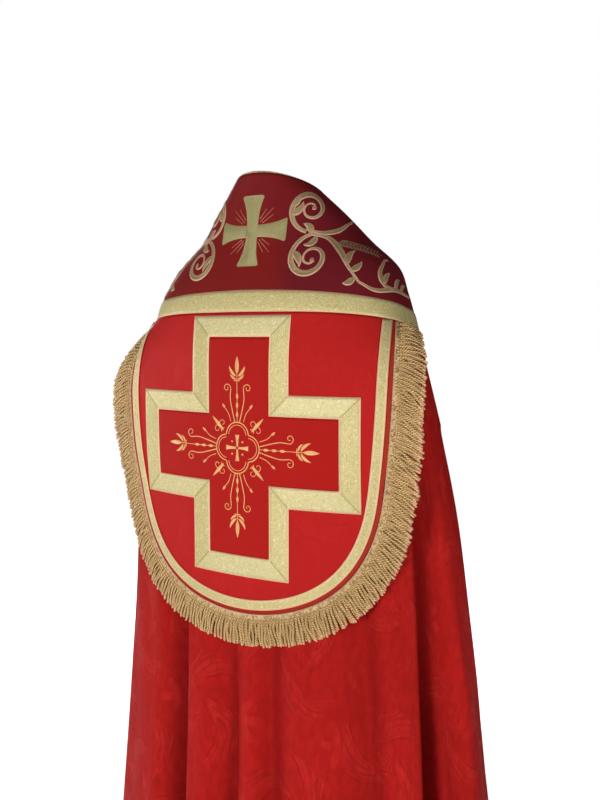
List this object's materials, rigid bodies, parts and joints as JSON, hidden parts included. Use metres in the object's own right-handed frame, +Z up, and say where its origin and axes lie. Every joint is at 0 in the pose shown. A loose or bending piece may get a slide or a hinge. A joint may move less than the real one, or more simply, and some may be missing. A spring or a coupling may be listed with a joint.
{
  "type": "hooded cope vestment",
  "caption": "Floor-length open-fronted cope: red damask cape with a dark red orphrey band, gold galloons and a stiff back hood with a cross and a fringe.",
  "frame": {"origin": "base of the wearer's neck, where the garment is carried, midway between the shoulders", "axes": "+Z up; the wearer faces -Y, so the hood is towards +Y; +X is the wearer's left"},
  "size_m": [0.8336, 0.3993, 1.4734],
  "materials": {
    "damask_red": "red damask, woven leaves, soft satin sheen",
    "hood_red": "red damask over a stiff interlining",
    "panel_red": "plain red satin",
    "orphrey_dark_red": "dark red velvet-like satin, interlined",
    "galloon_gold": "woven metallic gold galloon",
    "piping_gold": "thin gold cord",
    "fringe_gold": "twisted gold bullion fringe"
  },
  "bodies": {
    "root": {"mantle": "damask_red", "hood": "hood_red", "hood_cross_panel": "panel_red", "orphrey_yoke": "orphrey_dark_red", "orphrey_left_front": "orphrey_dark_red", "orphrey_right_front": "orphrey_dark_red", "orphrey_galloon": "galloon_gold", "hood_galloon": "galloon_gold", "hood_cross_galloon": "galloon_gold", "edge_piping": "piping_gold", "hood_fringe": "fringe_gold", "morse": "orphrey_dark_red"}
  },
  "joints": []
}
